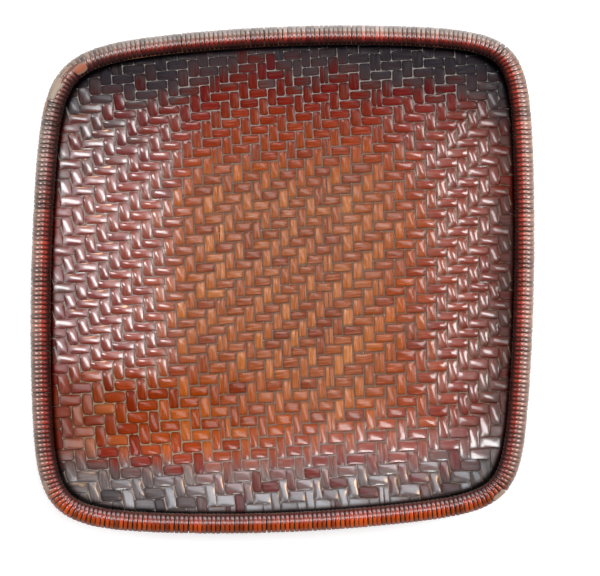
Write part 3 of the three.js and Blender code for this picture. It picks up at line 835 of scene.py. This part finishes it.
def woven_strip(number, is_upright, strip_number, splint=0, splints=1):
    """One strip, or one of the splints it is split into, as a tube, if it comes inside the rim."""
    run, reach = strip_inside(number, is_upright)
    if run is None:
        return None
    crowded = 1 + crowding * rise(reach, start=0.86, length=0.06)
    offset = number + 1.5 if is_upright else number - 0.5
    beat = np.mod(run + offset, 4) - 2
    hump_number = np.floor((run + offset) / 4).astype(int)
    hump_number -= hump_number.min()
    near_crest = np.cos(math.pi / 2 * np.clip(beat, -1, 1))

    def by_hump(spread):
        """A random number for each hump, which fades out before the next."""
        return random.normal(0, spread, hump_number.max() + 1)[hump_number] * near_crest

    lift = 1 + by_hump(uneven_height)
    uneven = 1 + by_hump(uneven_width) + random.normal(0, uneven_width_of_strips)
    wide = crowded * strip_half / splints * uneven
    beside = (splint - (splints - 1) / 2) * 2 * strip_half / splints
    swayed = beside + by_hump(sway) + sway * np.sin(run / 5 + number)
    skew = (upright_twist if is_upright else crosspiece_twist) * (1 + by_hump(uneven_twist))
    domed = 1 + by_hump(uneven_dome)
    tone = random.normal(0.5, spread_of_tones, hump_number.max() + 1)[hump_number]
    tone = tone + random.normal(0, spread_of_tones_of_strips)

    cuts = np.concatenate((top_cuts, under_cuts))
    is_top = np.arange(len(cuts)) < len(top_cuts)
    sideways = number + swayed[:, None] + wide[:, None] * cuts
    lengthways = np.broadcast_to(run[:, None], sideways.shape)
    upright, crosspiece = (sideways, lengthways) if is_upright else (lengthways, sideways)
    place, face, share = dish_frame(upright, crosspiece)
    swell = swelling(place)
    slant = beat[:, None] - (skew * (1 - np.minimum(beat ** 2, 1)))[:, None] * (sideways - number)
    wave = (flat_hump + (round_hump - flat_hump) * swell) * lift[:, None] * hump(slant)
    along_hump = np.minimum(np.abs(slant), 1)
    from_middle = (np.abs(cuts) ** dome_corner + along_hump ** dome_corner) ** (1 / dome_corner)
    pillow = 1 - np.minimum(from_middle, 1) ** dome_fall
    dome = (flat_dome + (round_dome - flat_dome) * swell) * domed[:, None] * pillow / splints ** 0.5
    rounding = strip_thickness * 0.5 * np.abs(cuts) ** edge_rounding
    height = wave + np.where(is_top, strip_thickness / 2 + dome - rounding, -strip_thickness / 2)
    points = place + face * height[..., None]
    if is_upright:
        shaped = (points, place, share, swell, slant)
        points, place, share, swell, slant = (values[:, ::-1] for values in shaped)
        cuts, is_top = cuts[::-1], is_top[::-1]

    steps = np.linalg.norm(np.diff(place[:, measured_cut], axis=0), axis=1)
    along = np.concatenate(([0], np.cumsum(steps)))[:, None]
    skewed = beat[:, None] + (slant - beat[:, None]) * 0.8 * np.minimum(1.8 * swell, 1)
    # shade is painted light and shade; amber is partly painted warm light
    numbers = {
        "along": along, "across": cuts, "strip": strip_number, "beat": skewed, "tone": tone[:, None],
        "face": is_top, "swell": swell, "share": share, "zone": zone_of(place), "shiny": gloss_of(place),
        "scuffed": rise(-shares_of(place)[1], start=0.7, length=0.09), "amber": amber_and_warm_light_of(place),
        "shade": painted_light_and_shade_of(place)}
    return {"points": points, "numbers": numbers, "lanes": 2}


# %% [markdown]
# Where the maker ran out of wide strips, two narrow splints lie side by side in place of one.

# %% Weave all strips
splints_of = {-6: 2, 6: 2, 11: 2}
mat_pieces = 6
first_number_of_uprights = 100
first_number_of_crosspieces = 300


def weave(is_upright, first_strip):
    """The strips of one set that come inside the rim."""
    woven = []
    for number in range(1 - farthest_strip, farthest_strip):
        splints = splints_of.get(number, 1) if is_upright else 1
        for splint in range(splints):
            strip_number = first_strip + number + 0.3 * splint
            woven.append(woven_strip(number, is_upright, strip_number, splint, splints))
    return [tube for tube in woven if tube is not None]


def put_on_tray(tubes, names, material):
    """Strips that lie side by side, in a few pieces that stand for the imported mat."""
    bounds_of_pieces = np.linspace(0, len(tubes), mat_pieces + 1).astype(int)
    for piece_number in range(mat_pieces):
        chosen = tubes[bounds_of_pieces[piece_number]:bounds_of_pieces[piece_number + 1]]
        piece = piece_from_tubes(f"{names}_{piece_number + 1}", chosen, material)
        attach(piece, "root")
        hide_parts("woven_mat")


uprights = weave(True, first_number_of_uprights)
crosspieces = weave(False, first_number_of_crosspieces)
put_on_tray(uprights, "uprights", upright_finish)
put_on_tray(crosspieces, "crosspieces", crosspiece_finish)
print(f"{len(uprights)} uprights and {len(crosspieces)} crosspieces")

# %% [markdown]
# ## The finish of the binding
#
# The cane round the rim is lacquered the same red. Each row of colours below goes round the rim's section,
# from the dish side over the top to the outside: almost black in the crevice, which is painted shade, red on
# the slope, and brown outside, partly rubbed lacquer with dust between the turns and partly a painted
# reflection of the bright surroundings. Along the front the cane is golden brown, along the back it is
# greyer, as a painted reflection of the light behind the tray, and at the back left corner hands have rubbed
# it bare.

# %% Colours round the rim's section
# The first stops of each row are painted shade in the crevice. The outer stops are partly dust and partly
# painted reflection of the bright surroundings, greyest in the back row.
side_row = (
    (0.0, (30, 8, 6)), (0.08, (60, 14, 9)), (0.18, (104, 24, 14)), (0.30, (142, 40, 24)),
    (0.40, (148, 62, 44)), (0.52, (144, 90, 76)), (0.85, (138, 104, 90)), (1.0, (140, 118, 104)))
front_row = (
    (0.0, (24, 6, 5)), (0.12, (96, 28, 20)), (0.24, (134, 44, 26)), (0.45, (166, 56, 16)),
    (0.65, (170, 70, 20)), (0.85, (160, 70, 24)), (1.0, (130, 60, 28)))
back_row = (
    (0.0, (14, 4, 5)), (0.10, (34, 9, 10)), (0.25, (112, 34, 30)), (0.36, (156, 62, 48)),
    (0.48, (146, 78, 62)), (0.60, (146, 104, 92)), (0.72, (146, 130, 124)), (1.0, (146, 146, 146)))
rubbed_row = (
    (0.0, (26, 12, 14)), (0.25, (84, 44, 42)), (0.42, (136, 98, 90)), (0.7, (128, 106, 98)),
    (1.0, (132, 120, 108)))
cane_streak = (255, 180, 130)
dust_on_rim = (176, 160, 138)


# %% Finish of the binding
def binding_lacquer(tree, on, fibre):
    """The colour of the cane, by its place round the section and round the tray, with painted shade in the
    crevice and painted reflection outside.
    """
    round_rim = ranged(tree, on.outer, -1.0, 1.0, smooth=False)
    at_sides, at_front, at_back, bared = (
        ramped(tree, round_rim, row) for row in (side_row, front_row, back_row, rubbed_row))
    not_front = mixed(tree, ranged(tree, on.back, 0.45, 0.95), at_sides, at_back)
    lacquered = mixed(tree, ranged(tree, on.front, 0.3, 0.8), not_front, at_front)
    shown = mixed(tree, on.rubbed, lacquered, bared)
    streak = mixed(tree, 1.0, shown, cane_streak, "MULTIPLY")
    streaked = mixed(tree, times(tree, fibre["Streak"], 0.3), shown, streak)
    return darkened(tree, streaked, maths(tree, "ADD", on.tone, 0.61))


def binding_finish():
    """The lacquer of the cane that is wound round the rim."""
    made, tree, shader = finish("lacquered binding")
    on = numbers_on_points(tree, "along across strip tone outer front back rubbed")
    fibre = fibres_on(tree, on, 1.6)
    edge = maths(tree, "ABSOLUTE", on.across)
    not_front = left_of(tree, on.front)
    amount = times(tree, ranged(tree, on.outer, -0.2, 0.9, 0.15, 0.8), not_front)
    dusty = dust_on(tree, on, edge, Start=0.86, Amount=amount)
    # painted shade in the gaps between the turns, darkest along the front
    painted_gap_shade = times(tree, ranged(tree, on.outer, -0.1, 0.5, 0.1, 0.55), not_front)
    painted_crease_shade = ranged(tree, edge, 0.55, 0.93, 1.0, painted_gap_shade)
    crease_shaded = darkened(tree, binding_lacquer(tree, on, fibre), painted_crease_shade)
    gloss = times(tree, fibre["Streak"], 0.12, 0.24)
    over_top = times(tree, ranged(tree, on.outer, -0.4, -0.15, 0.12, 1.0), not_front)
    inside = times(tree, ranged(tree, on.outer, -0.3, 0.0, 1.0, 0.35), on.front)
    open_air = maths(tree, "ADD", over_top, inside)
    coat = times(tree, open_air, ranged(tree, on.outer, 0.1, 0.8, 1.0, 0.4))
    feed(tree, shader, {
        "Base Color": mixed(tree, dusty, crease_shaded, dust_on_rim),
        "Roughness": times(tree, dusty, 0.4, gloss),
        "Specular IOR Level": times(tree, open_air, 0.5),
        "Coat Weight": times(tree, left_of(tree, dusty), coat),
        "Coat Roughness": 0.12, "Coat IOR": 1.8, "Normal": grained(tree, fibre, 0.2, 0.3 * mm)})
    return made


lacquered_binding = binding_finish()

# %% [markdown]
# ## Winding the binding
#
# Split cane, flat inside and round outside, is wound turn beside turn round the hoops, 24 turns to a
# length. One long spiral per length would be perfect rings on a lathe, so each turn gets its own width and
# place. The rings fan out on the outside of a corner and crowd on its inside, as they must.

# %% Section of the rim and of the cane
length_count = 16
turns_per_length = 24
turn_pitch = rim_length / (length_count * turns_per_length)
cane_per_turn = 0.05
cane_thickness = 1.0 * mm
cane_edge = 0.35 * mm
section_power = 2.05
half_out = rim_width / 2 - cane_thickness
half_up = rim_height / 2 - cane_thickness
lean_on_top = 0.15
step_share = 0.2
uneven_places = 0.05
uneven_turns = 0.025
uneven_lift = 0.08 * mm
spread_of_turn_tones = 0.26
steps_per_turn = 30
cane_top_cuts = np.array((-1, -0.86, -0.5, 0, 0.5, 0.86, 1))
cane_under_cuts = np.array((0.8, -0.8))
cane_cuts = np.concatenate((cane_top_cuts, cane_under_cuts))
cane_is_top = np.arange(len(cane_cuts)) < len(cane_top_cuts)


def section(angle):
    """How far out and up the hoops' surface is at an angle round the rim, and the way off it."""
    small = 0.01

    def spot(at):
        """The surface at an angle."""
        size = np.abs(np.cos(at) / half_out) ** section_power + np.abs(np.sin(at) / half_up) ** section_power
        return np.stack((np.cos(at), np.sin(at)), axis=-1) * size[..., None] ** (-1 / section_power)

    run = spot(angle + small) - spot(angle - small)
    off = np.stack((run[..., 1], -run[..., 0]), axis=-1)
    return spot(angle), off / np.linalg.norm(off, axis=-1, keepdims=True)


def off_hoops(distance, angle, lift):
    """Points this high above the hoops, at distances round the tray and angles round the rim's section."""
    middle, out = on_rim(distance)
    spot, off = section(angle)
    outwards = spot[..., 0] + off[..., 0] * lift
    upwards = spot[..., 1] + off[..., 1] * lift
    return np.concatenate((middle + out * outwards[..., None], (rim_middle + upwards)[..., None]), axis=-1)


# %% [markdown]
# Each turn of cane starts under the tray, climbs the dish's outside, crosses the top and comes back, and
# only underneath does it step over to the next place. Tones drift from turn to turn, because no two canes
# took the lacquer alike.

# %% Spiral of cane
rubbed_corner_x = -0.86 * tray_width / 2
rubbed_corner_y = 0.66 * tray_depth / 2
rubbed_reach = 75 * mm


def wear_of_turns(number, start):
    """How far each turn of a length is rubbed bare, and how its tone drifts round the tray."""
    count = np.arange(turns_per_length)
    mid_turn = on_rim(start + (count + 0.5) * turn_pitch)[0]
    from_corner = np.hypot(mid_turn[:, 0] - rubbed_corner_x, mid_turn[:, 1] - rubbed_corner_y)
    drift = 0.16 * np.sin(count / 3.1 + 2.3 * number) + 0.1 * np.cos(1.3 * number)
    x, y = shares_of(mid_turn)
    fading = -0.33 * rise(-y, start=0.65, length=0.25) * np.cos(2 * math.pi * (x + 0.25) / 1.3)
    return band(from_corner, at=0, reach=rubbed_reach, power=4), drift + fading


def wound_length(number, cane_random):
    """One length of cane as a tube that goes round the rim 24 times."""
    count = turns_per_length
    start = (number - 0.5) * rim_length / length_count
    turns = np.arange(count * steps_per_turn + 1) / steps_per_turn
    whole = np.minimum(np.floor(turns).astype(int), count - 1)
    share = turns - whole
    angle = -0.5 * math.pi + 2 * math.pi * share
    rest = rise(-share, start=-step_share, length=step_share) ** 2
    leave = rise(share, start=1 - step_share, length=step_share) ** 2
    step_over = lean_on_top * (share - 0.5) + (1 - lean_on_top) * 0.5 * (leave - rest)
    strayed = cane_random.normal(0, uneven_places, count - 1)
    places = np.arange(count + 1) + np.concatenate(([0], strayed, [0]))
    centre = np.interp(whole + 0.5 + step_over * 0.999, np.arange(count + 1), places)
    width = turn_pitch * (0.48 + cane_random.normal(0, uneven_turns, count))[whole]
    proud = cane_random.normal(0, uneven_lift, count)[whole]
    rubbed, drift = wear_of_turns(number, start)
    tone = np.clip(cane_random.normal(0.5, spread_of_turn_tones, count) + drift, 0.02, 1.25)[whole]
    distance = start + centre[:, None] * turn_pitch + width[:, None] * cane_cuts
    dome = cane_edge + (cane_thickness - cane_edge) * np.sqrt(1 - 0.97 * cane_cuts ** 2)
    lift = np.where(cane_is_top, dome, 0.0) + proud[:, None]
    out = on_rim(distance)[1]
    numbers = {
        "along": (turns * cane_per_turn)[:, None], "across": cane_cuts,
        "strip": (number * count + whole)[:, None],
        "tone": tone[:, None], "rubbed": rubbed[whole][:, None], "outer": np.cos(angle)[:, None],
        "front": np.clip(-out[..., 1], 0, 1), "back": np.clip(out[..., 1], 0, 1)}
    return {"points": off_hoops(distance, angle[:, None], lift), "numbers": numbers, "lanes": count}


cane_random = np.random.default_rng(5)
for number in range(length_count):
    wound = wound_length(number, cane_random)
    piece = piece_from_tubes(f"binding_{number + 1:02d}", [wound], lacquered_binding)
    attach(piece, "root")
    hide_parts(f"lashing_{number + 1:02d}")
print(f"{length_count * turns_per_length} turns, {turn_pitch * 1000:.2f} mm apart")

# %% [markdown]
# Where a length of cane runs out, its end is laid along the rim and the next turns hold it down. Such ends
# stand proud at the back left corner and at both front corners, and the lacquer has rubbed off them.

# %% Ends of cane laid along the rim
def rim_distance_at(x, y):
    """How far round the rim the spot nearest to this place is."""
    nearest = np.argmin(np.hypot(rim_line[:, 0] - x, rim_line[:, 1] - y))
    return rim_distances[nearest]


def laid_end(x, y, length, tilt, half_spread, tone, cane_random):
    """The end of a length of cane, laid over the turns, tilted from the rim's top towards the outside."""
    rings = 25
    waves = 7
    along = np.linspace(-1, 1, rings)[:, None]
    taper = (1 - np.abs(along) ** 6) ** 0.5
    wavy = 1 + 0.12 * np.interp(along, np.linspace(-1, 1, waves), cane_random.normal(0, 1, waves))
    angle = math.pi / 2 - math.radians(tilt) - math.radians(half_spread) * (taper * wavy) * cane_cuts
    height = cane_thickness * (0.75 + 0.65 * taper * np.sqrt(1 - 0.9 * cane_cuts ** 2))
    lift = np.where(cane_is_top, height, 0.5 * cane_thickness)
    points = off_hoops(rim_distance_at(x, y) + along * length / 2, angle, lift)
    numbers = {"along": along * length / 2, "across": cane_cuts, "strip": x * 1000, "tone": tone}
    return {"points": points, "numbers": numbers, "lanes": 1}


# %% Finish of the bare ends
bare_row = ((0.0, (120, 46, 26)), (0.5, (176, 92, 56)), (1.0, (186, 170, 154)))
bare_streak = (220, 176, 140)
bare_edge = (150, 132, 120)


def rubbed_finish():
    """Cane that the lacquer has rubbed off: bare and golden brown, dark along its edges."""
    made, tree, shader = finish("rubbed cane")
    on = numbers_on_points(tree, "along across strip tone")
    fibre = fibres_on(tree, on, 2.0)
    bare = ramped(tree, on.tone, bare_row)
    streak = mixed(tree, 1.0, bare, bare_streak, "MULTIPLY")
    streaked = mixed(tree, times(tree, fibre["Streak"], 0.6), bare, streak)
    edge = maths(tree, "ABSOLUTE", on.across)
    greyed = mixed(tree, ranged(tree, edge, 0.35, 0.75, 0.0, 0.7), streaked, bare_edge)
    feed(tree, shader, {
        "Base Color": darkened(tree, greyed, ranged(tree, edge, 0.7, 1.0, 1.0, 0.3)),
        "Roughness": times(tree, fibre["Streak"], 0.15, 0.32),
        "Normal": grained(tree, fibre, 0.3, 0.3 * mm)})
    return made


# %% Lay the ends
laid = [
    laid_end(-172 * mm, 181 * mm, 12 * mm, -22, 36, 0.55, cane_random),
    laid_end(-187 * mm, 158 * mm, 19 * mm, 26, 36, 1.0, cane_random),
    laid_end(-181 * mm, 173 * mm, 13 * mm, 30, 8, 0.9, cane_random),
    laid_end(-183 * mm, 168 * mm, 10 * mm, 6, 6, 0.1, cane_random),
    laid_end(-177 * mm, 178 * mm, 12 * mm, 12, 7, 0.15, cane_random),
    laid_end(-192 * mm, 142 * mm, 11 * mm, 52, 12, 0.85, cane_random),
    laid_end(176 * mm, -174 * mm, 11 * mm, 48, 24, 0.9, cane_random),
    laid_end(-180 * mm, -165 * mm, 9 * mm, 40, 20, 0.85, cane_random),
]
laid_piece = piece_from_tubes("laid_cane_ends", laid, rubbed_finish())
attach(laid_piece, "root")
print(f"{len(laid)} laid ends")

# %% [markdown]
# ## The hoops and the filler
#
# These three stay as they were packed, because the binding hides them but for slits between its turns. They
# are bare split bamboo, darkened where lacquer ran in.

# %% Finish of the hidden pieces
def bare_bamboo(name, light, dark):
    """Bare bamboo with its fibres, darker where lacquer ran in."""
    made, tree, shader = finish(name)
    place = add(tree, "TexCoord").outputs["Object"]
    parts = add(tree, "SeparateXYZ", {"Vector": place}).outputs
    fibres_per_metre = (9.0, 9.0, 900.0)
    x, y, z = (times(tree, parts[axis], fibres_per_metre[axis]) for axis in range(3))
    fibre = noise(tree, x, y, z, detail=3.0)
    feed(tree, shader, {
        "Base Color": mixed(tree, ranged(tree, fibre, 0.35, 0.65), dark, light),
        "Roughness": times(tree, fibre, 0.2, 0.45)})
    return made


hoop_finish = bare_bamboo("bare hoop bamboo", (120, 78, 48), (70, 38, 24))
filler_finish = bare_bamboo("bare filler cane", (128, 86, 52), (80, 46, 30))
hidden = {"outer_hoop": hoop_finish, "inner_hoop": hoop_finish, "rim_filler": filler_finish}
for node, material in hidden.items():
    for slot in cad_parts[node].material_slots:
        slot.material = material

# %% [markdown]
# ## Floor, light and view
#
# A white floor carries the tray's shadow. The main light is broad and soft and stands behind the tray, and
# lamps left, right and above put a glint on every strip of the walls. No lamp stands in front, so the back
# wall stays deep. The levels add up to plain light, in which a colour shows about as it is written. Lacquer
# also mirrors its surroundings: the floor and the lowest part of the world look white to mirrored rays, and
# all above is dark, or the dish would wash out.

# %% Rays that see the surroundings
def rays_that_see(tree):
    """1 for the rays that show what is around: the camera's own, and those mirrored or let through."""
    path = add(tree, "LightPath").outputs
    mirrored = maths(tree, "MAXIMUM", path["Is Glossy Ray"], path["Is Transmission Ray"])
    return maths(tree, "MAXIMUM", path["Is Camera Ray"], mirrored)


# %% [markdown]
# Near the tray the floor glows at half strength, so that the lamps' light on it still shows the shadow.
# Further out the lamps don't reach, and the glow alone makes it white.

# %% Floor
floor_half = 6.0
floor_drop = -0.0004
glow_grows_from = 1.0
glow_full_at = 3.0
floor_mesh = bpy.data.meshes.new("floor")
ways = ((-1, -1), (1, -1), (1, 1), (-1, 1))
floor_corners = [(x * floor_half, y * floor_half, floor_drop) for x, y in ways]
floor_mesh.from_pydata(floor_corners, [], [(0, 1, 2, 3)])
floor = bpy.data.objects.new("floor", floor_mesh)
bpy.context.scene.collection.objects.link(floor)

floor_finish, floor_tree, floor_shader = finish("white floor")
feed(floor_tree, floor_shader, {"Base Color": (0.9, 0.9, 0.9, 1), "Roughness": 0.9})
floor_place = add(floor_tree, "TexCoord").outputs["Object"]
from_tray = add(floor_tree, "VectorMath", {0: floor_place}, operation="LENGTH").outputs["Value"]
floor_light = ranged(floor_tree, from_tray, glow_grows_from, glow_full_at, 0.5, 1.0)
floor_glow = times(floor_tree, rays_that_see(floor_tree), floor_light)
glow = add(floor_tree, "Emission", {"Color": (1, 1, 1, 1), "Strength": floor_glow})
both = add(floor_tree, "AddShader", {0: floor_shader.outputs[0], 1: glow.outputs[0]})
floor_tree.links.new(both.outputs[0], floor_tree.nodes["Material Output"].inputs["Surface"])
floor_mesh.materials.append(floor_finish)


# %% Lamps
def lamp(name, place, width, height, power, tint=(1, 1, 1)):
    """A soft lamp that faces the tray's middle."""
    light = bpy.data.lights.new(name, "AREA")
    light.shape = "RECTANGLE"
    light.size, light.size_y = width, height
    light.energy = power
    light.color = tint
    made = bpy.data.objects.new(name, light)
    made.location = place
    bpy.context.scene.collection.objects.link(made)
    direction = made.location.normalized()
    made.rotation_euler = direction.to_track_quat("Z", "Y").to_euler()


lamp("back light", (0.1, 1.7, 1.1), 1.8, 1.1, 15.3, (0.82, 0.91, 1.0))
lamp("warm light", (0.61, 1.06, 0.86), 0.3, 0.3, 2.7, (1.0, 0.55, 0.22))
lamp("left light", (-1.05, 0.0, 1.05), 0.5, 0.5, 4.9)
lamp("right light", (1.05, 0.0, 1.15), 0.64, 0.64, 7.2)
lamp("top light", (0.0, 0.3, 2.08), 0.5, 0.5, 6.6)
lamp("left panel", (-1.1, 0.1, 1.1), 1.6, 1.6, 4.1)
lamp("right panel", (1.1, 0.1, 1.1), 1.6, 1.6, 9.4, (0.92, 0.96, 1.0))

# %% World
world_level = 0.09
world = bpy.data.worlds.new("studio")
bpy.context.scene.world = world
world.use_nodes = True
world_tree = world.node_tree
sky = world_tree.nodes["Background"]
sky.inputs["Color"].default_value = (1, 1, 1, 1)
direction = add(world_tree, "TexCoord").outputs["Generated"]
upwards = add(world_tree, "SeparateXYZ", {"Vector": direction}).outputs["Z"]
low_band = ranged(world_tree, upwards, 0.2, 0.3, 1.0, 0.0)
white_wall = times(world_tree, low_band, rays_that_see(world_tree))
world_light = ranged(world_tree, white_wall, 0.0, 1.0, world_level, 1.0, smooth=False)
world_tree.links.new(world_light, sky.inputs["Strength"])
bpy.context.scene.view_settings.view_transform = "Standard"
